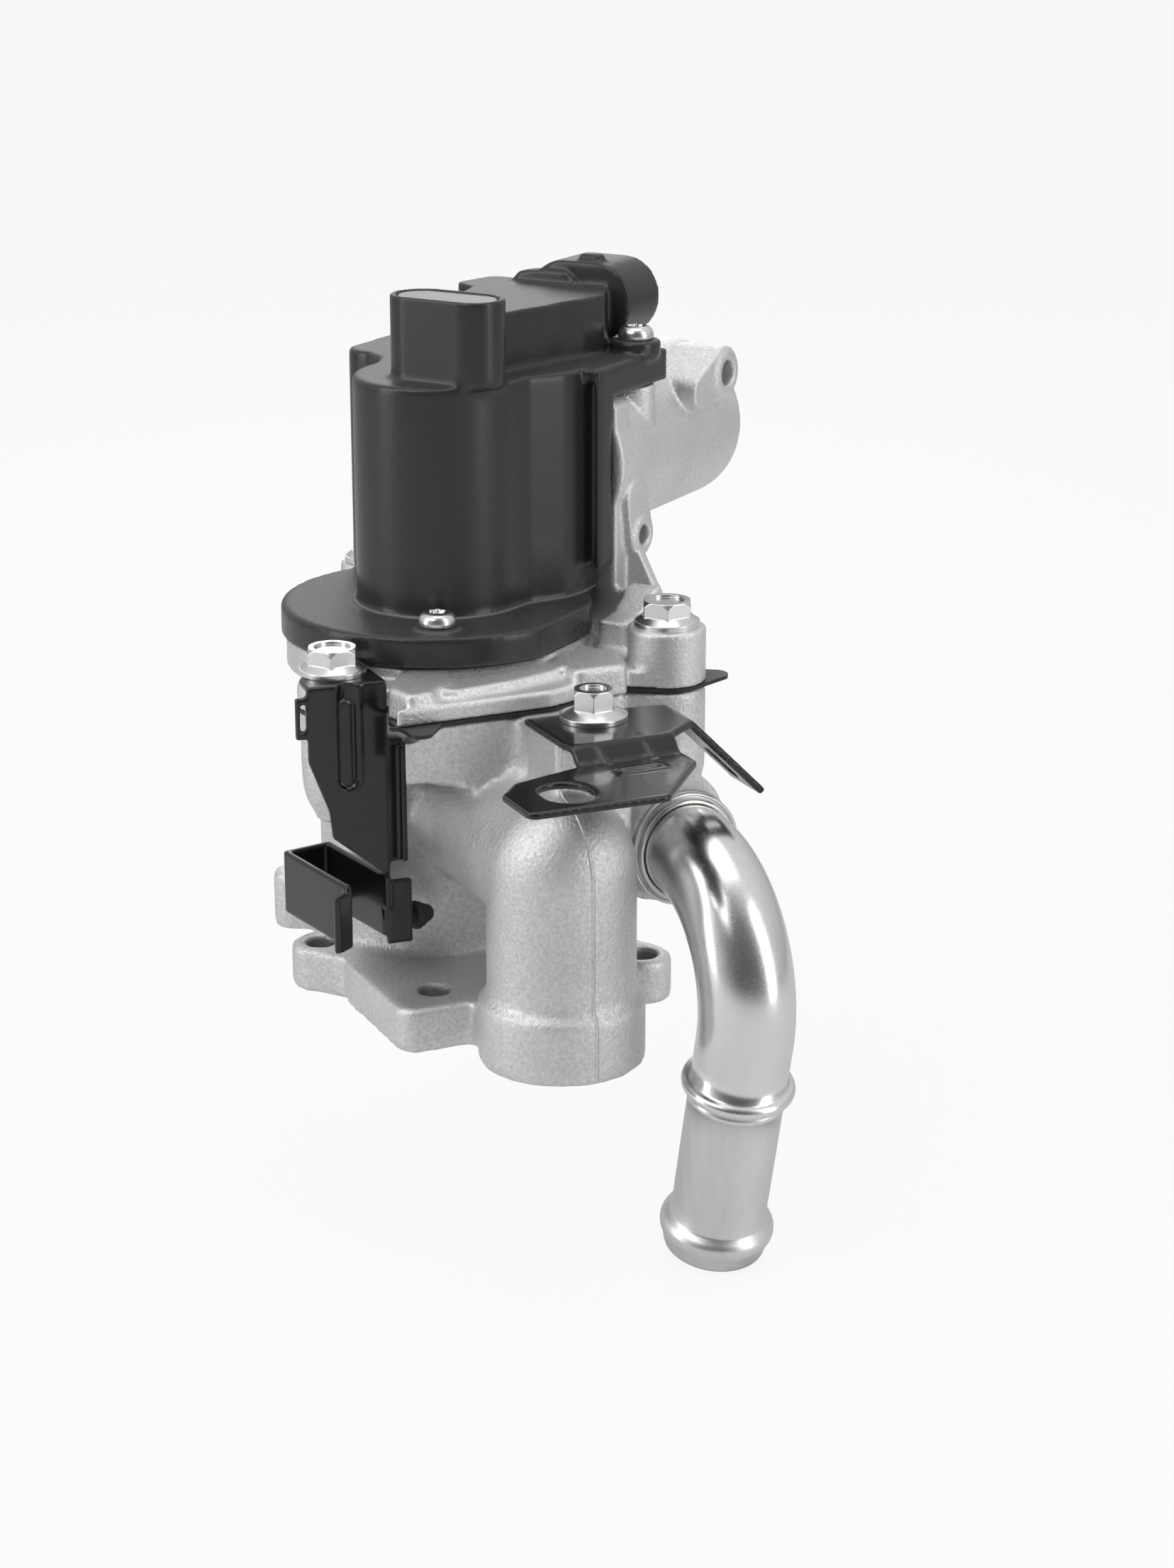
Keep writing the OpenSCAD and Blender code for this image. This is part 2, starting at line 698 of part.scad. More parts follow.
module actuator_housing() {
    color("gainsboro") difference() {
        housing_solid();
        rod_y(motor_c, split_y - over, tube_end_y - 3, pocket_r);
        rod_y(output_c, split_y - over, wall_y - 0.9, 4);
        rod_y(idler_c, split_y - over, wall_y - 1.4, 1.5);
        for (p = post_at)
            rod_y(p, split_y - over, wall_y - 1.3, 1.6);
        translate([0, 0, base_z - over]) cylinder(h = 12, r = 10.5);
        for (i = [0 : 2])
            translate([bolt_at[i][0], bolt_at[i][1], base_z - over]) cylinder(h = 30, r = bolt_r + 0.3);
        translate([front_screw[0], front_screw[1], base_z + 0.5]) cylinder(h = 10, r = screw_r);
        translate([rear_screw[0], rear_screw[1], skirt_z - 3.3]) cylinder(h = 5, r = screw_r);
        translate([lug_x - 7.5, lug_c[0], lug_c[1]]) rotate([0, 90, 0]) cylinder(h = 9, r = 2.9);
        translate([lug_x - 10, ear_c[0], ear_c[1]]) rotate([0, 90, 0]) cylinder(h = 12, r = 2.2);
    }
}

module body_gasket() {
    color("black") translate([0, 0, deck_z]) difference() {
        linear_extrude(gasket_t) {
            deck_outline(0);
            link2d(bolt_at[1], boss_r[1], bolt_at[1] + [7, 8.5], 3.2);
            in_port() link2d([42, -22], 6, [51, -24.8], 2.4);
        }
        translate([0, 0, -over]) cylinder(h = 4, r = 10.5);
        for (p = bolt_at)
            translate([p[0], p[1], -over]) cylinder(h = 4, r = bolt_r + 0.2);
    }
}

// Cover

plug_c = [10, cover_top_z + 9.6];
front_x = 1.3;
plug_y0 = 45.4;
plug_y1 = 60;
plate_y1 = 50.6;

// Outline of the cover's upper part, in X and Y, drawn smaller by inset
module case_outline(inset) {
    translate([front_x, 0]) circle(front_r - inset);
    polygon([[0, 0], [front_x + front_r - inset - 0.2, 0], [20.6 - inset, 5], [23.2 - inset, 9.8],
        [25.2 - inset, 13.6], [25.8 - inset, 17.5], [25.8 - inset, split_y], [0, split_y]]);
    polygon([[0, 0], [front_x - front_r + inset + 0.6, -2], [-17.8 + inset, 5], [-20 + inset, 9.4 + inset],
        [-24.6, 12.3 + inset], [-24.6, split_y], [0, split_y]]);
    link2d([-27, 19.5], 6.5 - inset, [-27, split_y], 6.5 - inset);
    translate([-27, 13 + inset]) square([20, 10]);
}

module cover_outer() {
    // Base flange
    translate([0, 0, base_top_z]) linear_extrude(cover_flange_h) intersection() {
        circle(cover_flange_r);
        translate([-40, -40]) square([72.5, 40 + split_y]);
    }
    // Upper part
    translate([0, 0, cover_floor_z - 1]) linear_extrude(cover_top_z - cover_floor_z + 1) intersection() {
        case_outline(0);
        translate([-60, -60]) square([120, 60 + split_y]);
    }
    // Side strip
    translate([22, 19.3, 89.5]) cube([housing_right_x - 22, split_y - 19.3, cover_top_z - 89.5]);
    // Top plate with its skirt
    translate([0, 0, skirt_z]) linear_extrude(cover_top_z - skirt_z) {
        translate([0, 19.3]) square([housing_right_x, plate_y1 - 19.3]);
        rounded_outline([[-29, 22], [0, 22], [0, 46], [-29, 46]], 4.5);
    }
    // Tower
    translate([magnet_at[0], magnet_at[1], cover_top_z - 0.6]) linear_extrude(tower_top_z - cover_top_z + 0.6)
        obround2d(tower_l, tower_w);
    // Box behind the tower
    translate([0, 0, cover_top_z - 1]) linear_extrude(box_h + 1)
        rounded_outline([[2, 2], [10.6, 4], [12.4, 13], [14.2, 19], [14.8, 25], [16.8, 31], [17.6, 38], [16.6, 41],
            [12.6, 44.6], [-12, 45.6], [-13.6, 38], [-8, 35.2], [-4, 20]], 3);
    translate([8, 40, cover_top_z - 1]) cube([9.6, 8.6, box_h + 1]);
    // Collar and latch nub of the connector
    translate([0, 0, cover_top_z + box_h - 1]) standing(44.2, 4)
        polygon([[-7, 0], [-6.8, 1.4], [-5.2, 3.2], [-2, 3.8], [7.2, 3.8], [10.4, 1.4], [10.4, 0]]);
    translate([0, 0, plug_c[1] + plug_h / 2 - 1.2]) linear_extrude(2.8)
        polygon([[9, 47], [13.4, 47], [15, 48.8], [13.4, 50.6], [9, 50.6]]);
    // Screw bosses
    translate([rear_screw[0], rear_screw[1], cover_top_z - 1]) cylinder(h = 3.8, r = 5.6);
    translate([front_screw[0], front_screw[1], cover_floor_z - 1]) cylinder(h = 2, r = 4.6);
    // Connector body and shroud
    translate([plug_c[0], plug_y0, plug_c[1]]) rotate([-90, 0, 0]) linear_extrude(plug_y1 - plug_y0)
        obround2d(plug_w, plug_h);
}

module cover_voids() {
    // Groove between the round front and the side strip
    translate([26, 15, 89]) cube([2.6, 7.6, cover_top_z - 3.2 - 89]);
    // Front chamber and gear case
    translate([0, 0, base_top_z - over]) linear_extrude(inner_top_z - base_top_z + over) intersection() {
        case_outline(cover_wall);
        translate([-60, -60]) square([120, 60 + split_y + over]);
    }
    // Space over the motor tube
    translate([-29, 23.6, skirt_z - 6.9]) cube([housing_right_x + 29 - 2.2, plate_y1 - 23.6 - 2.2, inner_top_z - skirt_z + 6.9]);
    rod_y(motor_c, split_y - over, plate_y1 + over, tube_r + 1);
    // Box and tower cavities
    translate([0, 0, inner_top_z - 1]) linear_extrude(box_h + 0.6)
        rounded_outline([[1, 6], [8.6, 7], [10.4, 15], [11.6, 20], [12.6, 28], [-3, 28], [-1.4, 20]], 2.4);
    translate([magnet_at[0], magnet_at[1], inner_top_z - 1]) linear_extrude(17) obround2d(tower_l - 7, tower_w - 5);
    translate([magnet_at[0], magnet_at[1], lid_z]) linear_extrude(10) obround2d(tower_l - 2.8, tower_w - 2.8);
    // Connector socket
    translate([plug_c[0], plug_y1 - 12, plug_c[1]]) rotate([-90, 0, 0]) linear_extrude(20) obround2d(plug_w - 3.6, plug_h - 3.6);
    // Screw holes
    translate([front_screw[0], front_screw[1], base_top_z - over]) cylinder(h = 20, r = screw_r + 0.2);
    translate([rear_screw[0], rear_screw[1], skirt_z - 7]) cylinder(h = 30, r = screw_r + 0.2);
}

module actuator_cover() {
    color("#2b2b2d") difference() {
        union() {
            difference() {
                cover_outer();
                cover_voids();
            }
            // Pillar under the rear screw
            difference() {
                translate([rear_screw[0], rear_screw[1], skirt_z]) cylinder(h = 6, r = 4);
                translate([rear_screw[0], rear_screw[1], skirt_z - 7]) cylinder(h = 30, r = screw_r + 0.2);
                rod_y(motor_c, 30, 55, tube_r + 1);
            }
        }
        // Slots for the seal
        seal_solid(0.02);
    }
}

// Seal cord along the cover's rim
module seal_solid(grow) {
    s = 1.2 + grow;
    translate([0, 0, base_top_z]) intersection() {
        rotate_extrude() translate([30.7 - s, 0]) square([2 * s, s * 1.2]);
        translate([-40, -40, -1]) cube([80, 40 + split_y, 10]);
    }
}

module cover_seal() {
    color("black") seal_solid(0);
}

module tower_lid() {
    color("darkgray") translate([magnet_at[0], magnet_at[1], lid_z]) linear_extrude(3.2) obround2d(tower_l - 3.6, tower_w - 3.6);
}

module sensor_board() {
    color("darkgreen") translate([magnet_at[0] - 7, magnet_at[1] - 0.8, lid_z - 19.9]) cube([14, 1.6, 18.8]);
}

module connector_pins() {
    color("goldenrod") for (k = [-2 : 2])
        translate([plug_c[0] + k * 3.8 - 0.4, 26, plug_c[1] - 0.4]) cube([0.8, plug_y1 - 4 - 26, 0.8]);
}

// Fasteners

module pan_screw(r, head_r, head_h, l) {
    translate([0, 0, -l]) cylinder(h = l, r = r);
    difference() {
        intersection() {
            cylinder(h = head_h, r = head_r);
            translate([0, 0, head_h - head_r * 1.6]) sphere(r = head_r * 1.6);
        }
        translate([0, 0, head_h - 1.4]) cylinder(h = 2, r = 1.7, $fn = 6);
    }
}

module cover_screws() {
    color("silver") {
        translate([front_screw[0], front_screw[1], cover_floor_z + 1]) pan_screw(screw_r - 0.02, 4, 3.4, 13);
        translate([rear_screw[0], rear_screw[1], cover_top_z + 2.8]) pan_screw(screw_r - 0.02, 4, 3.4, 12.6);
    }
}

// Hexagon head with a flange; z 0 is the seat
module flange_bolt(across_flats, flange_r, head_h, l) {
    translate([0, 0, -l]) cylinder(h = l, r = bolt_r - 0.03);
    cylinder(h = 1.2, r = flange_r);
    translate([0, 0, 1.2]) cylinder(h = 1.2, r1 = flange_r - 0.3, r2 = across_flats / 2 + 0.4);
    difference() {
        intersection() {
            cylinder(h = head_h, r = across_flats / sqrt(3), $fn = 6);
            translate([0, 0, -over]) cylinder(h = head_h + over, r1 = across_flats / 2 + 4, r2 = across_flats / 2 + 0.1);
        }
        translate([0, 0, head_h - 0.6]) cylinder(h = 1, r = across_flats / 2 - 1.2);
    }
}

module housing_bolts() {
    color("silver") for (i = [0 : 2])
        translate([bolt_at[i][0], bolt_at[i][1], bolt_seat_z[i]]) flange_bolt(10, 7.1, 5.7, bolt_seat_z[i] - deck_z + 13);
}

module bracket_bolt() {
    p = port_xy(small_bolt);
    color("silver") translate([p[0], p[1], deck_z + sheet_t]) flange_bolt(8, 7.1, 6.6, sheet_t + 9);
}

// Left bracket with its clip; sheet drawn as flat outlines bent at right angles
clip_dir = 50.9;

module clip_bracket() {
    zt = bolt_seat_z[0];
    color("#1c1c1e") {
        // Tab under the bolt
        difference() {
            translate([bolt_at[0][0], bolt_at[0][1], zt - sheet_t]) rotate([0, 0, clip_dir]) linear_extrude(sheet_t)
                polygon([[-4.5, 5.2], [5.5, 4.2], [8.4, 1], [8.8, -9.6], [-8.4, -9.6], [-8, -2]]);
            translate([bolt_at[0][0], bolt_at[0][1], zt - 5]) cylinder(h = 10, r = bolt_r + 0.3);
        }
        // Front plate
        translate([bolt_at[0][0], bolt_at[0][1], 0]) rotate([0, 0, clip_dir]) translate([0, -9.6, 0]) {
            difference() {
                standing(0, sheet_t) polygon([[-8.4, zt], [8.8, zt], [8.8, 33], [13.6, 33], [13.6, 18.6], [8, 18.6],
                    [8, 33.6], [6.9, 35.2], [0, 42.5], [-3.5, 48], [-8.4, 61]]);
                // Stamped rib
                standing(-over, over + 0.7) link2d([-0.3, 56.5], 1.9, [-0.3, 72], 1.9);
            }
            // Side ear with a window
            translate([-10.9, 0, 66.2]) difference() {
                cube([4, sheet_t, 9]);
                translate([0.9, -1, 1.6]) cube([1.3, 4, 6]);
            }
            // Turned edge
            translate([0, 0, 36.8]) linear_extrude(27) link2d([8.4, 0.9], 0.8, [11.8, 2.4], 0.8);
        }
        // Clip band
        clip_band();
    }
}

// Upright strip between two plan points
module strip(a, b, z0, h) {
    translate([0, 0, z0]) linear_extrude(h) link2d(a, sheet_t / 2, b, sheet_t / 2);
}

module clip_band() {
    corner = [[12.9, -41.7], [-9.9, -30.1], [-14.3, -39.5], [6.6, -50.2], [9.6, -51.6], [9.3, -55.4]];
    strip(corner[0], corner[1], 27, 7.5);
    strip(corner[1], corner[2], 20.5, 14);
    strip(corner[2], corner[3], 20.5, 14);
    strip(corner[3], corner[4], 20.5, 14);
    strip(corner[4], corner[5], 20.5, 12.5);
}

// Right bracket, in port directions
hole_uv = [92.3, -11];

module hose_bracket() {
    z0 = deck_z;
    lower = z0 - 3.3;
    color("#1c1c1e") in_port() difference() {
        union() {
            translate([0, 0, z0]) linear_extrude(sheet_t)
                polygon([[53, -2.8], [72, -2.8], [75, -2], [74.6, 21.4], [69.2, 28.3], [55.6, 28.3], [53, 10]]);
            // Step down
            translate([0, 0, 0]) rotate([90, 0, 0]) translate([0, 0, -21]) linear_extrude(23)
                polygon([[74, z0 + sheet_t], [74, z0], [77.4, lower], [79.6, lower], [79.6, lower + sheet_t], [78.4, lower + sheet_t],
                    [75, z0 + sheet_t]]);
            translate([0, 0, lower]) linear_extrude(sheet_t)
                rounded_outline([[79.6, 0], [84.2, -16.6], [89.2, -21], [99.6, -21], [100.4, 5.6], [84, 19.2], [79.6, 19.2]], 2.2);
            // Rear arm
            translate([55.6, 27.6, z0]) rotate([-45, 0, 0]) cube([13.6, 24, sheet_t]);
        }
        translate([small_bolt[0], small_bolt[1], z0 - 5]) cylinder(h = 10, r = bolt_r + 0.3);
        translate([hole_uv[0], hole_uv[1], lower - 5]) linear_extrude(10) obround2d(12.6, 10.2);
        // Slot in the arm
        translate([62.4, 38.5, z0 - 11]) rotate([-45, 0, 0]) translate([0, 0, -5]) linear_extrude(10)
            rotate([0, 0, 90]) obround2d(10, 4);
    }
}

// Coolant pipe: straight root, one bend, straight hose end with two beads
pipe_root_u = coolant_u - 10;
bend_u = coolant_u + 3.3;
hose_l = 53.2;

module pipe_path_solid(r) {
    rod_u(coolant_v, coolant_z, pipe_root_u, bend_u, r);
    translate([bend_u, coolant_v, coolant_z - bend_r]) rotate([90, 0, 0]) rotate([0, 0, 90 - bend_deg])
        rotate_extrude(angle = bend_deg) translate([bend_r, 0]) circle(r);
    hose_frame() cylinder(h = hose_l, r = r);
    // Low rings where the bend begins and ends
    rod_u(coolant_v, coolant_z, bend_u - 0.3, bend_u + 0.3, r + 0.06);
    hose_frame() translate([0, 0, -0.3]) cylinder(h = 0.6, r = r + 0.06);
}

// Frame at the end of the bend, looking down the hose end
module hose_frame() {
    translate([bend_u + bend_r * sin(bend_deg), coolant_v, coolant_z - bend_r + bend_r * cos(bend_deg)])
        rotate([0, 90 + bend_deg, 0]) children();
}

module coolant_pipe() {
    color("lightgray") in_port() difference() {
        union() {
            pipe_path_solid(pipe_r);
            hose_frame() {
                translate([0, 0, 10.6]) rotate_extrude() translate([pipe_r, 0]) circle(1.6);
                // Rolled end
                translate([0, 0, hose_l - 9]) rotate_extrude() polygon([[pipe_r - 0.7, 0], [pipe_r, 0], [pipe_r + 0.9, 0.5],
                    [pipe_r + 1.7, 1.4], [pipe_r + 2, 2.5], [pipe_r + 2, 4], [pipe_r + 1.7, 5.6], [pipe_r + 1.1, 7.2],
                    [pipe_r + 0.3, 8.6], [pipe_r - 0.3, 9], [pipe_r - 0.7, 9]]);
            }
        }
        pipe_path_solid(pipe_r - pipe_wall);
        hose_frame() cylinder(h = hose_l + 1, r = pipe_r - pipe_wall);
        rod_u(coolant_v, coolant_z, pipe_root_u - over, pipe_root_u + over, pipe_r - pipe_wall);
    }
}

module pipe_collar() {
    color("silver") in_port() difference() {
        rod_u(coolant_v, coolant_z, coolant_u, coolant_u + 3, pipe_r + 2.3);
        rod_u(coolant_v, coolant_z, coolant_u - over, coolant_u + 4, pipe_r + fit);
    }
}

lower_body();
seat_ring();
stem_bush();
stem_seal();
valve_stem();
valve_disc();
return_spring();
spring_retainer();
stem_yoke();
roller_pin();
cam_roller();
magnet_carrier();
sensor_magnet();
cam_disc();
output_gear();
output_bush_rear();
output_bush_front();
gear_plate();
gear_plate_screws();
idler_gear();
idler_pin();
motor_can();
motor_magnets();
motor_end_plate();
motor_brushes();
motor_shaft();
armature_core();
armature_windings();
commutator();
motor_pinion();
motor_bearings();
motor_washer();
motor_screws();
actuator_housing();
body_gasket();
actuator_cover();
cover_seal();
tower_lid();
sensor_board();
connector_pins();
cover_screws();
housing_bolts();
bracket_bolt();
clip_bracket();
hose_bracket();
coolant_pipe();
pipe_collar();
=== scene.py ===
import json
import math
import bmesh
import bpy
from mathutils import Matrix, Vector


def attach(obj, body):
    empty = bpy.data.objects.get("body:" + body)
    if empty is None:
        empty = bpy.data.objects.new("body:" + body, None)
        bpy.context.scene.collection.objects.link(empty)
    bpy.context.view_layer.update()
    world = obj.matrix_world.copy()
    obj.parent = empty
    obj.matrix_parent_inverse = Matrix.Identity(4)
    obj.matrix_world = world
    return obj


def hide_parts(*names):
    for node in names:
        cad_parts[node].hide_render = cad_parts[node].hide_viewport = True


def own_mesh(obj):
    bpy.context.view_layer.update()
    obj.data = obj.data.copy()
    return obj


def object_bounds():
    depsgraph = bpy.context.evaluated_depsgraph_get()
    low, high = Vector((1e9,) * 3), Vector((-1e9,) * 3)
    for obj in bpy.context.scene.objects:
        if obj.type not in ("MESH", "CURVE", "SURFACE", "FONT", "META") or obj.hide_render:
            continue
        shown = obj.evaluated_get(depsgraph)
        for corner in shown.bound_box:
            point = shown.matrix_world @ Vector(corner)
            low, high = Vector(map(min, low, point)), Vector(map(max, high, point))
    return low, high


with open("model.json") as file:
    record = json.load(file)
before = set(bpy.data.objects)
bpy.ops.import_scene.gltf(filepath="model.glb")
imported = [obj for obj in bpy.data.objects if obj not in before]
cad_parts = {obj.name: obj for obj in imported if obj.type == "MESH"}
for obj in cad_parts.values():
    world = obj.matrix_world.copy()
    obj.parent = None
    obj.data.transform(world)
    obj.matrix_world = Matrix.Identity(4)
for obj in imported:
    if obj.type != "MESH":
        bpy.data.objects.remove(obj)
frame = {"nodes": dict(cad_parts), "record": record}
cad_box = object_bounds()
nodes = frame["nodes"]

# The part's main places, in millimetres as in its source
MM = 0.001
TO_METRES = Matrix.Scale(MM, 4)
QUARTER = math.radians(90)
PORT_AZ = math.radians(-35.4)
PORT_TURN = Matrix.Rotation(PORT_AZ, 4, "Z")
PORT_BACK = Matrix.Rotation(-PORT_AZ, 4, "Z")
OUTLET = (65.5 * math.cos(PORT_AZ), 65.5 * math.sin(PORT_AZ))
FOOT_HOLES = [(-14, -28), (23.4, -40.3), (51.5, 0.5), (-24, 24)]
BOLTS = [(0.5, -42), (52, 10), (-37.5, 32.7)]
COOLANT_ALONG, COOLANT_ACROSS, COOLANT_HEIGHT = 58.5, 31.5, 39.7
COVER_SCREWS = {"front": ((14.5, -22.9, 85.0), 13.0), "rear": ((25.9, 43.1, 136.8), 12.6)}


# Finishes. Shader lengths are in metres

class Wire:
    """A socket of a node tree, so that shader maths reads as plain arithmetic."""

    def __init__(self, owner, socket):
        self.owner = owner
        self.socket = socket

    def maths(self, operation, first, second):
        return self.owner.node("ShaderNodeMath", {"operation": operation}, {0: first, 1: second})

    def __add__(self, other):
        return self.maths("ADD", self, other)

    def __radd__(self, other):
        return self.maths("ADD", other, self)

    def __sub__(self, other):
        return self.maths("SUBTRACT", self, other)

    def __rsub__(self, other):
        return self.maths("SUBTRACT", other, self)

    def __mul__(self, other):
        return self.maths("MULTIPLY", self, other)

    def __rmul__(self, other):
        return self.maths("MULTIPLY", other, self)

    def above(self, level):
        return self.maths("GREATER_THAN", self, level)

    def size(self):
        return self.maths("ABSOLUTE", self, 0.0)

    def larger(self, other):
        return self.maths("MAXIMUM", self, other)


class Shading:
    """A node tree with its main shader."""

    def __init__(self, tree, shader_name):
        self.tree = tree
        self.shader = tree.nodes[shader_name]

    def node(self, kind, settings=None, inputs=None, out=0):
        """Any node, by its type, its settings and what its sockets hold or are wired to."""
        made = self.tree.nodes.new(kind)
        for key, setting in (settings or {}).items():
            setattr(made, key, setting)
        for key, given in (inputs or {}).items():
            self.feed(made.inputs[key], given)
        return Wire(self, made.outputs[out])

    def feed(self, socket, given):
        if isinstance(given, Wire):
            self.tree.links.new(given.socket, socket)
        else:
            socket.default_value = given

    def set(self, name, given):
        self.feed(self.shader.inputs[name], given)

    def axis(self, wire, name):
        return self.node("ShaderNodeSeparateXYZ", {}, {0: wire}, out=name)

    def toward(self, wire, direction):
        """How far a vector reaches in a direction."""
        return self.node("ShaderNodeVectorMath", {"operation": "DOT_PRODUCT"}, {0: wire, 1: direction}, out="Value")

    def ramp(self, wire, low, high):
        """From 0 at low to 1 at high, and level beyond them."""
        return self.node("ShaderNodeMapRange", {}, {"Value": wire, "From Min": low, "From Max": high})


class Finish(Shading):
    """One surface finish: a Principled shader with what varies over it."""

    # Sockets of the Mix node that hold colours
    FIRST_COLOR, SECOND_COLOR, MIXED_COLOR = 6, 7, 2

    def __init__(self, name, color, metallic=0.0, roughness=0.5, coat=0.0):
        self.name = name
        self.material = bpy.data.materials.new(name)
        self.material.use_nodes = True
        super().__init__(self.material.node_tree, "Principled BSDF")
        self.set("Base Color", (*color, 1.0))
        self.set("Metallic", metallic)
        self.set("Roughness", roughness)
        self.set("Coat Weight", coat)
        self.set("Coat Roughness", 0.05)
        self.place = self.node("ShaderNodeTexCoord", out="Object")

    def noise(self, scale, detail, roughness, stretch=None):
        at = self.place
        if stretch:
            at = self.node("ShaderNodeMapping", {}, {"Vector": at, "Scale": stretch})
        return self.node(
            "ShaderNodeTexNoise", {}, {"Vector": at, "Scale": scale, "Detail": detail, "Roughness": roughness})

    def colors(self, factor, first, second):
        """A mix of two colours, each given as numbers or by a wire."""
        first, second = (part if isinstance(part, Wire) else (*part, 1.0) for part in (first, second))
        inputs = {0: factor, self.FIRST_COLOR: first, self.SECOND_COLOR: second}
        return self.node("ShaderNodeMix", {"data_type": "RGBA"}, inputs, out=self.MIXED_COLOR)

    def bump(self, height, distance, strength, edge=None):
        """Relief in the finish, over sharp edges that are rounded by the radius edge."""
        inputs = {"Height": height, "Distance": distance, "Strength": strength}
        if edge:
            inputs["Normal"] = self.node("ShaderNodeBevel", {"samples": 6}, {"Radius": edge})
        self.set("Normal", self.node("ShaderNodeBump", {}, inputs))

    def foot_hole_shadow(self):
        """1 inside the foot's screw holes, up to the foot's top, where their shadow is painted into the colour."""
        flat = self.node("ShaderNodeVectorMath", {"operation": "MULTIPLY"}, {0: self.place, 1: (1.0, 1.0, 0.0)})
        inside = 0.0
        for x, y in FOOT_HOLES:
            middle = (x * MM, y * MM, 0.0)
            apart = self.node("ShaderNodeVectorMath", {"operation": "DISTANCE"}, {0: flat, 1: middle}, out="Value")
            inside = inside + self.ramp(apart, 0.0039, 0.0035)
        return inside * self.ramp(self.axis(self.place, "Z"), 0.013, 0.012)

    def parting_line(self):
        """1 on the outlet tube's parting line, which lies in the upright plane of the gas port."""
        across = self.toward(self.place, (-math.sin(PORT_AZ), math.cos(PORT_AZ), 0.0)).size()
        outlet_side = self.toward(self.place, (math.cos(PORT_AZ), math.sin(PORT_AZ), 0.0)).above(0.05)
        return self.ramp(across, 0.00045, 0.0001) * outlet_side

    def level_faces(self):
        """1 where the surface looks up."""
        normal = self.node("ShaderNodeNewGeometry", out="Normal")
        return self.ramp(self.axis(normal, "Z"), 0.75, 0.95)


def shade(color, factor):
    return tuple(min(1.0, part * factor) for part in color)


def cast_metal(name, color, grain, depth, marked=False):
    """Cast aluminium: a matt skin of bright and dark grains over faint clouds.

    A marked one also has the parting line of the outlet tube and the shadow in the foot's screw holes."""
    made = Finish(name, color, metallic=1.0)
    clouds = made.noise(scale=60.0, detail=3.0, roughness=0.5)
    grains = made.ramp(made.noise(scale=grain, detail=5.0, roughness=0.62), 0.3, 0.7)
    skin = made.colors(clouds * 0.45 + grains * 0.55, shade(color, 0.74), shade(color, 1.2))
    relief = grains + clouds * 1.5
    if marked:
        # Painted shadow: the inside of the foot's screw holes is darkened to half the colour.
        skin = made.colors(made.foot_hole_shadow(), skin, shade(color, 0.5))
        relief = relief + made.parting_line() * 2.2
    made.set("Base Color", skin)
    made.set("Roughness", grains * -0.22 + clouds * 0.1 + 0.56)
    made.bump(relief, depth, strength=0.6, edge=0.0004)
    return made


def plain_metal(name, color, roughness, streak=None, spread=0.1, depth=0.00001, edge=0.0002):
    """Machined, drawn or plated metal with faint streaks. spread is how much its roughness varies."""
    made = Finish(name, color, metallic=1.0)
    streaks = made.noise(scale=900.0, detail=3.0, roughness=0.6, stretch=streak)
    made.set("Base Color", made.colors(streaks, shade(color, 0.92), shade(color, 1.06)))
    made.set("Roughness", streaks * spread + (roughness - spread * 0.5))
    made.bump(streaks, depth, strength=0.5, edge=edge)
    return made


def moulded(name, color, roughness, grain=1800.0, edge=0.0004, coat=0.0):
    """Moulded plastic, rubber or paint with a fine skin."""
    made = Finish(name, color, coat=coat)
    skin = made.noise(scale=grain, detail=3.0, roughness=0.6)
    clouds = made.noise(scale=45.0, detail=2.0, roughness=0.5)
    made.set("Base Color", made.colors(clouds * 0.5 + skin * 0.5, shade(color, 0.82), shade(color, 1.22)))
    made.set("Roughness", skin * 0.12 + clouds * 0.08 + (roughness - 0.1))
    made.bump(skin, 0.00002, strength=0.6, edge=edge)
    return made


def cover_plastic(name, color):
    """Black moulded plastic: satin walls; level faces with their own grain and a painted lighter tone for the light
    from above; and a pale weld line round the shell's foot.
    """
    weld_height, weld_color = 0.08435, (0.3, 0.3, 0.3)
    made = Finish(name, color)
    skin = made.noise(scale=1600.0, detail=4.0, roughness=0.6)
    grain = made.noise(scale=900.0, detail=5.0, roughness=0.7)
    level = made.level_faces()
    weld = made.ramp((made.axis(made.place, "Z") - weld_height).size(), 0.00028, 0.00012) * (1 - level)
    walls = made.colors(skin, shade(color, 0.85), shade(color, 1.15))
    # Painted light: faces that look up are coloured lighter, as the light from above falls on them. The grain in
    # that colour is the plastic's own texture.
    painted_lit_tops = made.colors(made.ramp(grain, 0.3, 0.7), shade(color, 1.1), shade(color, 2.5))
    made.set("Base Color", made.colors(weld * 0.55, made.colors(level, walls, painted_lit_tops), weld_color))
    made.set("Roughness", skin * 0.05 + level * 0.18 + 0.25)
    made.bump(skin * 0.25 + grain * level * 1.4, 0.00006, strength=0.7, edge=0.0003)
    return made


def pipe_metal(name, color):
    """Bright plated pipe: clean on the bend, duller and drawn down the hose end."""
    made = Finish(name, color, metallic=1.0)
    specks = made.ramp(made.noise(scale=2600.0, detail=4.0, roughness=0.7), 0.35, 0.68)
    draw = made.noise(scale=500.0, detail=3.0, roughness=0.6, stretch=(1, 1, 0.06))
    hose_end = made.ramp(made.axis(made.place, "Z"), -0.004, -0.012)
    bend = made.colors(specks * 0.5 + draw * 0.5, shade(color, 0.86), shade(color, 1.06))
    dull = made.colors(draw, shade(color, 0.82), shade(color, 0.98))
    made.set("Base Color", made.colors(hose_end, bend, dull))
    made.set("Roughness", specks * 0.08 + hose_end * 0.14 + draw * 0.05 + 0.17)
    made.bump(specks, 0.000004, strength=0.5)
    return made


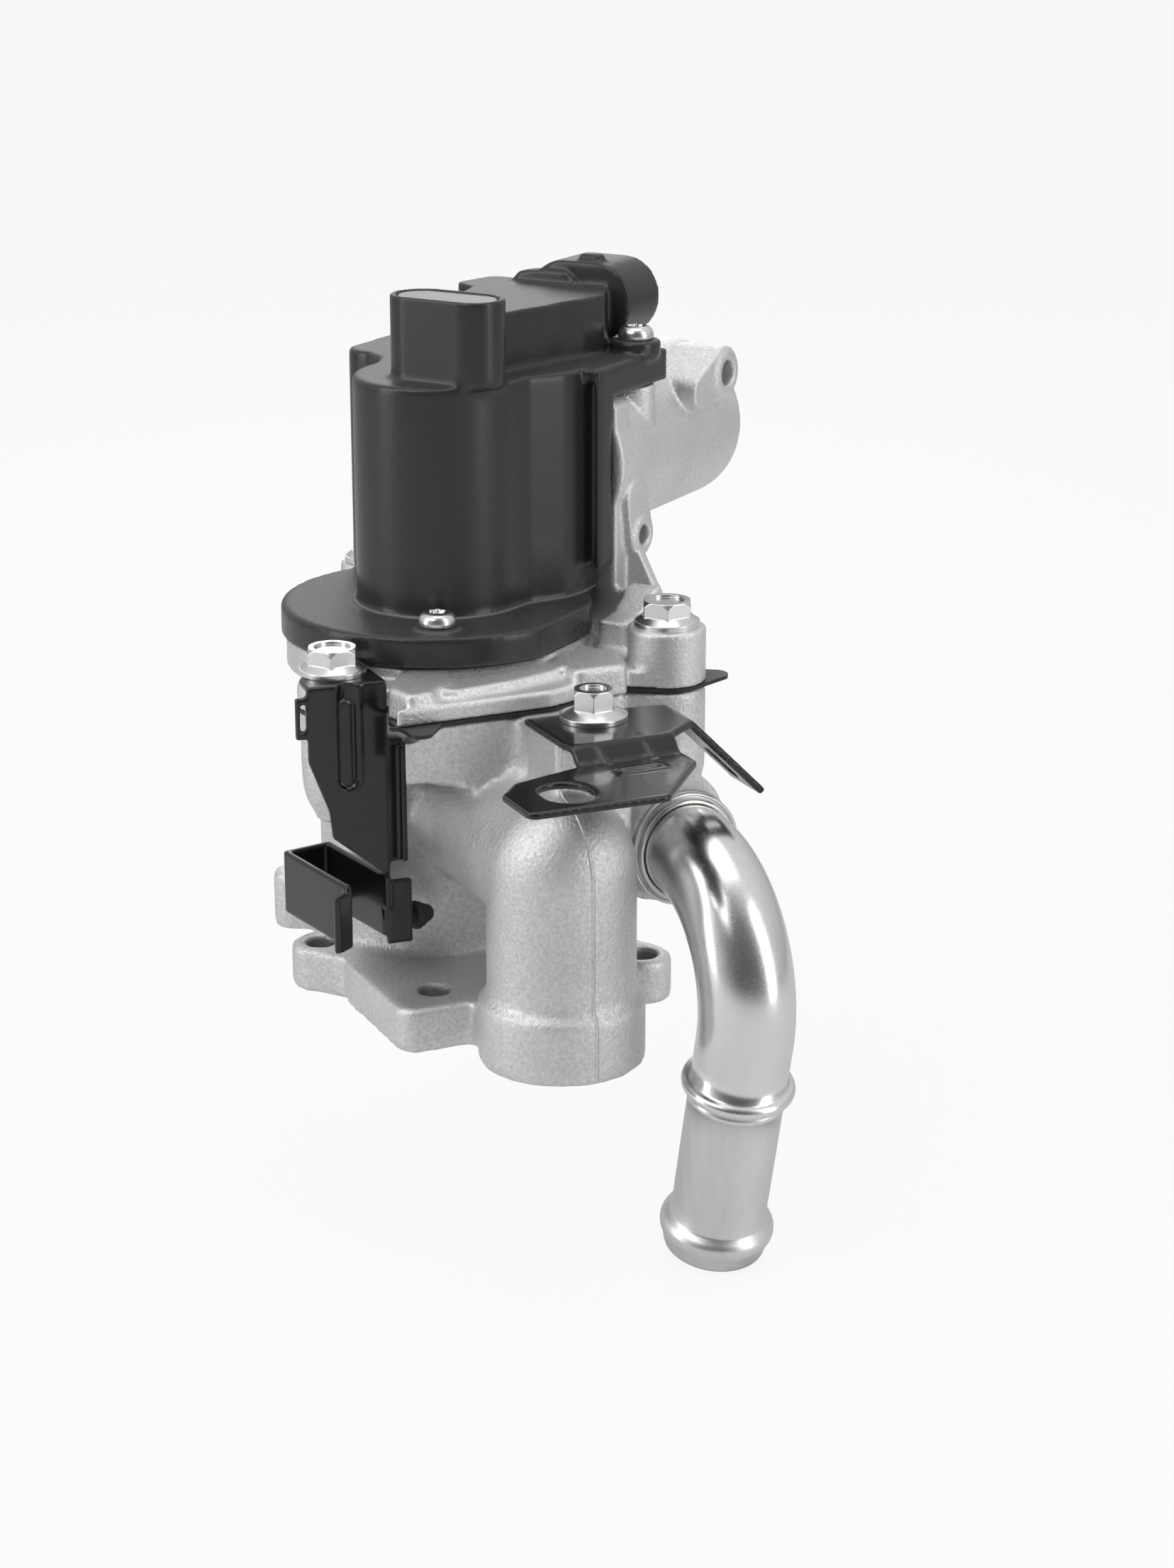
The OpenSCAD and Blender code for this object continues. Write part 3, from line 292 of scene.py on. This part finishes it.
finishes = {made.name: made for made in (
    cast_metal("cast_aluminium", (0.76, 0.76, 0.757), grain=1200.0, depth=0.00016, marked=True),
    cast_metal("cast_aluminium_upper", (0.8, 0.8, 0.798), grain=1500.0, depth=0.00012),
    plain_metal("hard_steel", (0.42, 0.41, 0.4), 0.3),
    plain_metal("bronze", (0.62, 0.45, 0.24), 0.35),
    plain_metal("bright_steel", (0.72, 0.72, 0.72), 0.18),
    plain_metal("spring_steel", (0.5, 0.5, 0.5), 0.25),
    plain_metal("magnet_grey", (0.22, 0.22, 0.23), 0.5),
    plain_metal("plated_steel", (0.78, 0.78, 0.77), 0.26, spread=0.05, depth=0.000002, edge=0.00035),
    plain_metal("zinc_steel", (0.58, 0.6, 0.6), 0.3, streak=(1, 0.1, 1)),
    plain_metal("core_steel", (0.3, 0.3, 0.32), 0.45, streak=(0.2, 6, 0.2), depth=0.00005),
    plain_metal("copper", (0.72, 0.38, 0.2), 0.25, streak=(0.3, 4, 0.3), depth=0.00005),
    plain_metal("pin_metal", (0.7, 0.6, 0.35), 0.2),
    pipe_metal("bright_pipe", (0.86, 0.86, 0.85)),
    cover_plastic("black_plastic", (0.03, 0.03, 0.0305)),
    moulded("black_plastic_inner", (0.05, 0.05, 0.05), 0.5),
    moulded("black_rubber", (0.03, 0.03, 0.03), 0.7),
    moulded("gear_plastic", (0.72, 0.68, 0.58), 0.4),
    moulded("brown_plastic", (0.25, 0.14, 0.07), 0.5),
    moulded("grey_plastic", (0.34, 0.34, 0.345), 0.5),
    moulded("carbon", (0.04, 0.04, 0.04), 0.6),
    moulded("board_green", (0.03, 0.18, 0.07), 0.3),
    moulded("gasket_black", (0.018, 0.018, 0.018), 0.4, edge=0.0001),
    moulded("gloss_black_steel", (0.008, 0.008, 0.0085), 0.2, grain=260.0, edge=0.0006, coat=0.25),
)}

slot_of = {part["node"]: part["material_slot"] for part in frame["record"]["subparts"]}
for node_name, slot_name in slot_of.items():
    for held in nodes[node_name].material_slots:
        held.material = finishes[slot_name].material


# Shapes. They are drawn in millimetres, and turned into metres as they are put in place

def unique(parts):
    """Each part once, in the order in which it comes, so that each run builds the same mesh."""
    return list(dict.fromkeys(parts))


def verts_in(geometry):
    return [part for part in geometry if isinstance(part, bmesh.types.BMVert)]


def edges_in(geometry):
    return [part for part in geometry if isinstance(part, bmesh.types.BMEdge)]


def settle(work, points, placed):
    """The faces at some points are turned outwards, and the points are put in place."""
    bmesh.ops.recalc_face_normals(work, faces=unique(face for v in points for face in v.link_faces))
    bmesh.ops.transform(work, verts=points, matrix=TO_METRES @ placed)


def block(work, low, high, placed):
    """A box between two corners."""
    low, high = Vector(low), Vector(high)
    box = Matrix.Translation((low + high) / 2) @ Matrix.Diagonal((*(high - low), 1))
    bmesh.ops.create_cube(work, size=1.0, matrix=TO_METRES @ placed @ box)


def slab(work, outline, pull, placed):
    """A flat outline, pulled out by a vector."""
    face = work.faces.new([work.verts.new(corner) for corner in outline])
    far = verts_in(bmesh.ops.extrude_face_region(work, geom=[face])["geom"])
    bmesh.ops.translate(work, verts=far, vec=pull)
    settle(work, far + list(face.verts), placed)


def spun(work, profile, steps):
    """A profile of (radius, height) spun round the upright axis. Gives its points."""
    older = set(work.verts)
    line = [work.verts.new((radius, 0, height)) for radius, height in profile]
    edges = [work.edges.new(pair) for pair in zip(line, line[1:])]
    bmesh.ops.spin(
        work, geom=line + edges, cent=(0, 0, 0), axis=(0, 0, 1), angle=math.tau, steps=steps, use_merge=True)
    bmesh.ops.remove_doubles(work, verts=[v for v in work.verts if v not in older], dist=0.0001)
    return [v for v in work.verts if v not in older]


def mesh_of(work, name):
    mesh = bpy.data.meshes.new(name)
    work.to_mesh(mesh)
    work.free()
    return mesh


def add_piece(name, mesh, slot_name):
    """A smooth piece of the fixed body, with its finish."""
    piece = bpy.data.objects.new(name, mesh)
    bpy.context.collection.objects.link(piece)
    for face in mesh.polygons:
        face.use_smooth = True
    mesh.materials.clear()
    mesh.materials.append(finishes[slot_name].material)
    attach(piece, "base")
    return piece


def finished_mesh(piece):
    """The mesh of a piece with its modifiers worked in."""
    bpy.context.view_layer.update()
    done = piece.evaluated_get(bpy.context.evaluated_depsgraph_get())
    return bpy.data.meshes.new_from_object(done)


def softened(node_name, cell, passes, most=190000, added=None, pressed=None):
    """A moulded, cast or pressed form with the rounded edges and fillets that its solid leaves out.

    cell is the size of the grid that it is made of, and most its largest count of triangles.
    passes is a list of (rounds, wanted): points for which wanted(place) holds are smoothed that many times.
    added puts small volumes on the solid first, and pressed(place) gives how far a point is pushed."""
    mesh = nodes[node_name].data.copy()
    work = bmesh.new()
    work.from_mesh(mesh)
    bmesh.ops.remove_doubles(work, verts=work.verts, dist=0.000001)
    if added:
        added(work)
    work.to_mesh(mesh)
    work.free()
    blank = bpy.data.objects.new(node_name + "_blank", mesh)
    bpy.context.collection.objects.link(blank)
    grid = blank.modifiers.new("grid", "REMESH")
    grid.mode = "VOXEL"
    grid.voxel_size = cell * MM
    fine = finished_mesh(blank)
    work = bmesh.new()
    work.from_mesh(fine)
    if pressed:
        for v in work.verts:
            v.co += pressed(v.co / MM) * MM
    for rounds, wanted in passes:
        chosen = [v for v in work.verts if wanted(v.co / MM)]
        for turn in range(rounds):
            bmesh.ops.smooth_vert(
                work, verts=chosen, factor=0.5, use_axis_x=True, use_axis_y=True, use_axis_z=True)
    count = sum(len(face.verts) - 2 for face in work.faces)
    work.to_mesh(fine)
    work.free()
    blank.modifiers.clear()
    blank.data = fine
    if count > most:
        blank.modifiers.new("thin", "DECIMATE").ratio = most / count
        fine = finished_mesh(blank)
    bpy.data.objects.remove(blank)
    piece = add_piece(node_name + "_form", fine, slot_of[node_name])
    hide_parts(node_name)


def near_axis(place, axis_at, radius):
    return (place.x - axis_at[0]) ** 2 + (place.y - axis_at[1]) ** 2 < radius ** 2


def in_port(place):
    """A place as (along, across, height) of the gas port."""
    return (PORT_BACK @ place).to_tuple()


def everywhere(place):
    return True


def body_skin(place):
    """Cast skin of the gas body: not its machined top and coolant face, its bores and its screw holes."""
    top, coolant_face, barrel_bore, outlet_bore, outlet_tube = 69.2, 57.6, 17.8, 14.4, 20.0
    if place.z > top or near_axis(place, (0, 0), barrel_bore) or near_axis(place, OUTLET, outlet_bore):
        return False
    if place.z < 12 and any(near_axis(place, hole, 4.2) for hole in FOOT_HOLES):
        return False
    if any(near_axis(place, bolt, 4.0) for bolt in BOLTS):
        return False
    return in_port(place)[0] < coolant_face or near_axis(place, OUTLET, outlet_tube)


def body_blends(place):
    """Where the elbow, the outlet tube and the coolant boss run into the barrel."""
    along, across, height = in_port(place)
    near = 14 < along < 62 and across < 18 and 15 < height < 66
    return near and body_skin(place) and not near_axis(place, OUTLET, 12)


def deck_blends(place):
    """Where the flared barrel runs into the deck's underside, behind and above the elbow's ring."""
    along, across, height = in_port(place)
    near = -34 < along < 56 and across < 12 and 46 < height < 68.6
    past_ring = along < 26 or across < -13.5 or height > 57
    return near and past_ring and body_skin(place)


def body_added(work):
    """The barrel's flare up to the deck, and a plug inside the thin wall of the upright coolant channel."""
    channel, plug_at, plug_length = 6.0, Matrix.Translation((20, 29.5, 57)), 6.4
    bmesh.ops.create_cone(
        work, cap_ends=True, segments=48, radius1=channel, radius2=channel, depth=plug_length,
        matrix=TO_METRES @ PORT_TURN @ plug_at)
    flare = [(24.5, 30), (26.6, 36), (29.5, 57), (24.5, 57), (24.5, 30)]
    settle(work, spun(work, flare, steps=96), Matrix.Identity(4))


def housing_skin(place):
    """Cast skin of the housing: not its machined underside and its bolt holes."""
    return place.z > 71.2 and not any(near_axis(place, bolt, 4.2) for bolt in BOLTS)


def housing_deck(place):
    """The terraces and steps of the base plate."""
    return 73.4 < place.z < 81 and housing_skin(place)


def raised_ring(work, inner, outer, placed):
    """A low ring with eased edges round a hole."""
    rise, root = 0.75, -1.5
    points = list(bmesh.ops.create_circle(work, segments=48, radius=outer)["verts"])
    first = unique(edge for v in points for edge in v.link_edges)
    past = first
    for radius, height in ((outer - 0.4, rise), (inner + 0.35, rise), (inner, 0.4), (inner, root), (outer, root)):
        pulled = bmesh.ops.extrude_edge_only(work, edges=past)["geom"]
        past = edges_in(pulled)
        for v in verts_in(pulled):
            flat = Vector((v.co.x, v.co.y, 0)).normalized() * radius
            v.co = Vector((flat.x, flat.y, height))
            points.append(v)
    bmesh.ops.bridge_loops(work, edges=first + past)
    settle(work, points, placed)


def housing_added(work):
    """Raised rings round the holes of the lug and the ear, which look along x."""
    facing = Matrix.Rotation(QUARTER, 4, "Y")
    raised_ring(work, 2.9, 5.4, Matrix.Translation((33.0, 73.4, 124.8)) @ facing)
    raised_ring(work, 2.2, 4.4, Matrix.Translation((32.0, 35.5, 94.5)) @ facing)


def cover_skin(place):
    """The cover above its seal face."""
    return place.z > 78.2


def cover_shell(place):
    """The shell's own top edge and foot, rounder than the box and the plug behind."""
    return cover_skin(place) and place.y < 27 and place.z < 136


# The clip bracket's front plate: x across it, z up, y towards the body
CLIP_PLATE = (
    Matrix.Translation((0.5, -42.0, 0)) @ Matrix.Rotation(math.radians(50.9), 4, "Z")
    @ Matrix.Translation((0, -9.6, 0)))
CLIP_BACK = CLIP_PLATE.inverted()
CLIP_TURN = CLIP_PLATE.to_3x3()

# The rear wall of the clip's band: x along it, y out of it
BAND_WALL = Matrix.Translation((12.9, -41.7, 0)) @ Matrix.Rotation(math.atan2(11.6, -22.8), 4, "Z")


def clip_added(work):
    """The plate's lower corner, the full height of the band's rear wall and the turned edge's rim."""
    corner = [(-4.4, 0, 52), (-3.5, 0, 43.8), (3.6, 0, 38.0), (7.6, 0, 34.4), (7.6, 0, 46), (0, 0, 52)]
    slab(work, corner, (0, 1.6, 0), CLIP_PLATE)
    block(work, (0.4, -0.8, 20.5), (25.4, 0.8, 33), BAND_WALL)
    block(work, (11.5, -0.3, 36.9), (12.8, 3.0, 62.6), CLIP_PLATE)


def clip_pressed(place):
    """The long rib pressed into the front plate, with its raised rim."""
    rib, rim = 2.0, 3.1
    rib_x, rib_foot, rib_depth, rim_rise = 0.1, 56.6, 1.25, 0.3
    at = CLIP_BACK @ place
    if not (-0.4 < at.y < 0.5 and at.z > 50):
        return Vector((0, 0, 0))
    away = math.hypot(at.x - rib_x, max(0.0, rib_foot - at.z))
    depth = 0.0
    if away < rib:
        depth = rib_depth * math.cos(away / rib * math.pi / 2) ** 0.6
    elif away < rim:
        depth = -rim_rise * math.sin((away - rib) / (rim - rib) * math.pi)
    return CLIP_TURN @ Vector((0, depth, 0))


def hose_bracket_added(work):
    """Two pressed darts in the step, and four low bars that make an oblong bead near the rear edge."""
    dart = ((76.0, 70.2), (77.8, 69.0), (80.2, 67.6), (77.0, 67.0))
    for across in (3.8, 14.4):
        slab(work, [(along, across - 0.7, height) for along, height in dart], (0, 1.4, 0), PORT_TURN)
    low, high = 67.5, 68.2
    for left, near, right, far in (
            (83.4, 3.6, 84.4, 13.6), (86.0, 3.6, 87.0, 13.6), (83.4, 3.2, 87.0, 4.2), (83.4, 13.0, 87.0, 14.0)):
        block(work, (left, near, low), (right, far, high), PORT_TURN)


softened(
    "lower_body", 0.8, [(3, everywhere), (4, body_skin), (3, body_blends), (80, deck_blends)], added=body_added)
softened("actuator_housing", 0.5, [(3, housing_skin), (9, housing_deck)], added=housing_added)
softened("actuator_cover", 0.55, [(3, cover_skin), (5, cover_shell)], most=195000)
softened("clip_bracket", 0.36, [(4, everywhere)], added=clip_added, pressed=clip_pressed)
softened("hose_bracket", 0.4, [(5, everywhere)], added=hose_bracket_added)


# The hose end, from the bend down: (distance, how far it stands out from the pipe)
BEAD = [(9.0 + 0.2 * k, 1.9 * math.sqrt(1 - ((k - 8) / 8) ** 2)) for k in range(17)]
LOW_RING = [(12.8, 0), (13.1, 0.3), (13.6, 0.4), (14.1, 0.3), (14.4, 0)]
LIP_FROM = 44.2
LIP = [
    (0, 0), (0.5, 0.35), (1.1, 1.1), (1.8, 1.75), (2.6, 2.05), (3.4, 2.1), (4.2, 1.95), (5.0, 1.6), (5.8, 1.25),
    (6.8, 1.0), (7.8, 0.85), (8.3, 0.65), (8.6, 0.3)]
HOSE_END = [(4.0, 0), *BEAD, *LOW_RING, (20.0, 0), (30.0, 0), (40.0, 0)]
HOSE_END += [(LIP_FROM + at, rise) for at, rise in LIP]


def coolant_tube():
    """The bent pipe: a ring swept round the bend, then down the hose end over its two beads."""
    radius, wall_thickness, bend_radius, bend = 10.2, 1.4, 27.0, math.radians(104.0)
    root_along, bend_along = COOLANT_ALONG - 9.8, COOLANT_ALONG + 3.3
    work = bmesh.new()
    start = Matrix.Translation((bend_along, COOLANT_ACROSS, COOLANT_HEIGHT)) @ Matrix.Rotation(QUARTER, 4, "Y")
    bmesh.ops.create_circle(work, segments=96, radius=radius, matrix=start)
    first = list(work.edges)
    centre = Vector((bend_along, COOLANT_ACROSS, COOLANT_HEIGHT - bend_radius))
    bent = bmesh.ops.spin(
        work, geom=first + list(work.verts), cent=centre, axis=(0, 1, 0), angle=bend, steps=72)
    ring = edges_in(bent["geom_last"])
    heading = Vector((math.cos(bend), 0, -math.sin(bend)))
    bend_end = centre + Vector((math.sin(bend), 0, math.cos(bend))) * bend_radius
    past, past_radius = 0.0, radius
    for at, rise in HOSE_END:
        pulled = bmesh.ops.extrude_edge_only(work, edges=ring)["geom"]
        ring, points = edges_in(pulled), verts_in(pulled)
        bmesh.ops.translate(work, verts=points, vec=heading * (at - past))
        swell = (radius + rise) / past_radius
        middle = Matrix.Translation(-(bend_end + heading * at))
        bmesh.ops.scale(work, verts=points, vec=(swell, swell, swell), space=middle)
        past, past_radius = at, radius + rise
    back = verts_in(bmesh.ops.extrude_edge_only(work, edges=first)["geom"])
    bmesh.ops.translate(work, verts=back, vec=(root_along - bend_along, 0, 0))
    settle(work, list(work.verts), PORT_TURN)
    piece = add_piece("coolant_tube", mesh_of(work, "coolant_tube"), "bright_pipe")
    wall = piece.modifiers.new("wall", "SOLIDIFY")
    wall.thickness = wall_thickness * MM
    wall.offset = -1.0
    wall.use_even_offset = True
    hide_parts("coolant_pipe")


def turned(name, profile, placed, slot_name, stands_for=None, recess=None):
    """A turned piece: a profile of (radius, height) spun round its axis and put in place.

    Points for which recess(corner) holds are drawn out into six lobes."""
    work = bmesh.new()
    points = spun(work, profile, steps=72)
    if recess:
        for v in points:
            if recess(v.co):
                swell = 1 + 0.13 * math.cos(6 * math.atan2(v.co.y, v.co.x))
                v.co.x *= swell
                v.co.y *= swell
    settle(work, points, placed)
    piece = add_piece(name, mesh_of(work, name), slot_name)
    if stands_for:
        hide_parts(stands_for)


def pan_screw(shank):
    """Half a pan head screw, from the bottom of its recess over the head to the end of its shank."""
    radius, point = 1.98, 0.6
    return [
        (0, 1.5), (1.35, 1.5), (1.65, 1.7), (1.72, 2.85), (1.9, 2.98), (2.5, 2.92), (3.1, 2.7), (3.55, 2.3),
        (3.85, 1.7), (4.0, 1.0), (4.0, 0.2), (3.85, 0.0), (2.1, 0.0), (radius, -0.2), (radius, point - shank),
        (radius - point, -shank), (0, -shank)]


def screw_recess(corner):
    return 1.0 < math.hypot(corner.x, corner.y) < 1.8 and corner.z > 1.3


# An outer ring, a groove and a low inner ring
COLLAR = [
    (10.26, 0.0), (12.3, 0.0), (12.5, 0.25), (12.5, 1.5), (12.35, 1.8), (12.1, 1.9), (11.85, 1.8), (11.7, 1.5),
    (11.65, 1.1), (11.4, 1.1), (11.3, 1.5), (11.3, 2.4), (11.15, 2.75), (10.9, 2.9), (10.5, 2.9), (10.26, 2.6),
    (10.26, 0.0)]
COLLAR_AT = (
    PORT_TURN @ Matrix.Translation((COOLANT_ALONG, COOLANT_ACROSS, COOLANT_HEIGHT))
    @ Matrix.Rotation(QUARTER, 4, "Y"))

# Push-in stop on the back of the clip's band: its pin, its flange and its domed end
STOP = [
    (0, 0), (1.6, 0), (1.6, 6.6), (1.8, 6.8), (2.9, 6.9), (3.1, 7.3), (3.1, 8.0), (2.75, 8.3), (2.75, 8.9),
    (2.4, 9.2), (1.9, 10.6), (1.5, 11.3), (0.9, 11.7), (0, 11.8)]
STOP_AT = BAND_WALL @ Matrix.Translation((2.5, -0.6, 22.9)) @ Matrix.Rotation(QUARTER, 4, "X")

coolant_tube()
turned("pipe_collar_rings", COLLAR, COLLAR_AT, "plated_steel", "pipe_collar")
for label, (spot, shank) in COVER_SCREWS.items():
    turned(
        "cover_screw_" + label, pan_screw(shank), Matrix.Translation(spot), "plated_steel", "cover_screws",
        recess=screw_recess)
turned("clip_stop", STOP, STOP_AT, "black_rubber")


def return_coil():
    """The stem's return spring: a round wire spun up its helix, with a closed turn at each end."""
    foot, top, travel = 64.3, 80.4, 5.5
    radius, wire = 8.0, 0.7
    closed_rise = 2.06 * wire
    open_rise = top - foot - 2 * wire - 2 * closed_rise
    work = bmesh.new()
    start = Matrix.Translation((radius, 0, foot + wire)) @ Matrix.Rotation(QUARTER, 4, "X")
    bmesh.ops.create_circle(work, cap_ends=True, segments=16, radius=wire, matrix=start)
    ring = list(work.edges)
    for turns, rise in ((1, closed_rise), (4, open_rise), (1, closed_rise)):
        steps = 48 * turns
        points = unique(v for edge in ring for v in edge.verts)
        wound = bmesh.ops.spin(
            work, geom=ring + points, cent=(0, 0, 0), axis=(0, 0, 1), dvec=(0, 0, rise / steps),
            angle=math.tau * turns, steps=steps)
        ring = edges_in(wound["geom_last"])
    bmesh.ops.edgeloop_fill(work, edges=ring)
    settle(work, list(work.verts), Matrix.Identity(4))
    piece = add_piece("return_coil", mesh_of(work, "return_coil"), "spring_steel")
    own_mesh(piece)
    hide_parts("return_spring")


return_coil()


# Stage, light and camera, in metres

bpy.ops.mesh.primitive_plane_add(size=12, location=(0, 0, cad_box[0][2] - 0.0005))
floor = bpy.context.object
floor.name = "floor"
ground = Finish("floor_paper", (0.9, 0.9, 0.9), roughness=0.9)
seen = ground.node("ShaderNodeLightPath", out="Is Camera Ray")
paper = Wire(ground, ground.shader.outputs[0])
white = ground.node("ShaderNodeEmission")
mixed = ground.node("ShaderNodeMixShader", {}, {0: seen * 0.9, 1: paper, 2: white})
ground.feed(ground.tree.nodes["Material Output"].inputs["Surface"], mixed)
floor.data.materials.append(ground.material)


class Room(Shading):
    """The studio round the part: white to the eye, softer and with a dark side in reflections."""

    def __init__(self, world):
        world.use_nodes = True
        super().__init__(world.node_tree, "Background")
        self.set("Color", (1.0, 1.0, 1.0, 1.0))
        seen = self.node("ShaderNodeLightPath", out="Is Camera Ray")
        seen_through = self.node("ShaderNodeLightPath", out="Is Transmission Ray")
        mirrored = self.node("ShaderNodeLightPath", out="Is Glossy Ray")
        away = self.node("ShaderNodeTexCoord", out="Generated")
        dark = self.node("ShaderNodeMapRange", {"interpolation_type": "SMOOTHSTEP"}, {
            "Value": self.toward(away, (0.48, -0.81, 0.33)), "From Min": 0.45, "From Max": 0.97, "To Max": 0.82})
        bright = self.node("ShaderNodeMapRange", {}, {
            "Value": self.axis(away, "Z"), "From Min": -0.2, "From Max": 0.7, "To Min": 0.4, "To Max": 0.72})
        light = mirrored * (bright * (1 - dark)) + (1 - mirrored) * 0.34
        self.set("Strength", seen.larger(seen_through).larger(light))


scene = bpy.context.scene
scene.world = bpy.data.worlds.new("studio")
Room(scene.world)


def lamp(name, at, size, power, height=None):
    """A soft lamp aimed at the middle of the part: square, or a strip of a given height."""
    data = bpy.data.lights.new(name, "AREA")
    data.energy = power
    data.size = size
    if height:
        data.shape = "RECTANGLE"
        data.size_y = height
    made = bpy.data.objects.new(name, data)
    bpy.context.collection.objects.link(made)
    made.location = at
    made.rotation_euler = (Vector((0.02, 0.0, 0.06)) - Vector(at)).to_track_quat("-Z", "Y").to_euler()


lamp("key", (-0.1, -0.75, 0.9), 0.5, 1.9)
lamp("left_strip", (-0.66, -0.72, 0.45), 0.34, 2.8, height=1.1)
lamp("right_strip", (1.0, 0.0, 0.4), 0.34, 2.8, height=1.1)
lamp("top", (0.05, 0.05, 0.95), 0.6, 1.2)
lamp("rim", (-0.45, 0.75, 0.5), 0.4, 1.0)

scene.view_settings.view_transform = "Standard"
view = bpy.data.cameras.new("view")
view.sensor_fit = "VERTICAL"
view.sensor_height = 36.0
view.lens = 74.03
view.clip_start = 0.01
eye = bpy.data.objects.new("view", view)
bpy.context.collection.objects.link(eye)
eye.location = (0.368, -0.581, 0.264)
eye.rotation_euler = (math.radians(72.0), 0.0, math.radians(29.6))
scene.camera = eye
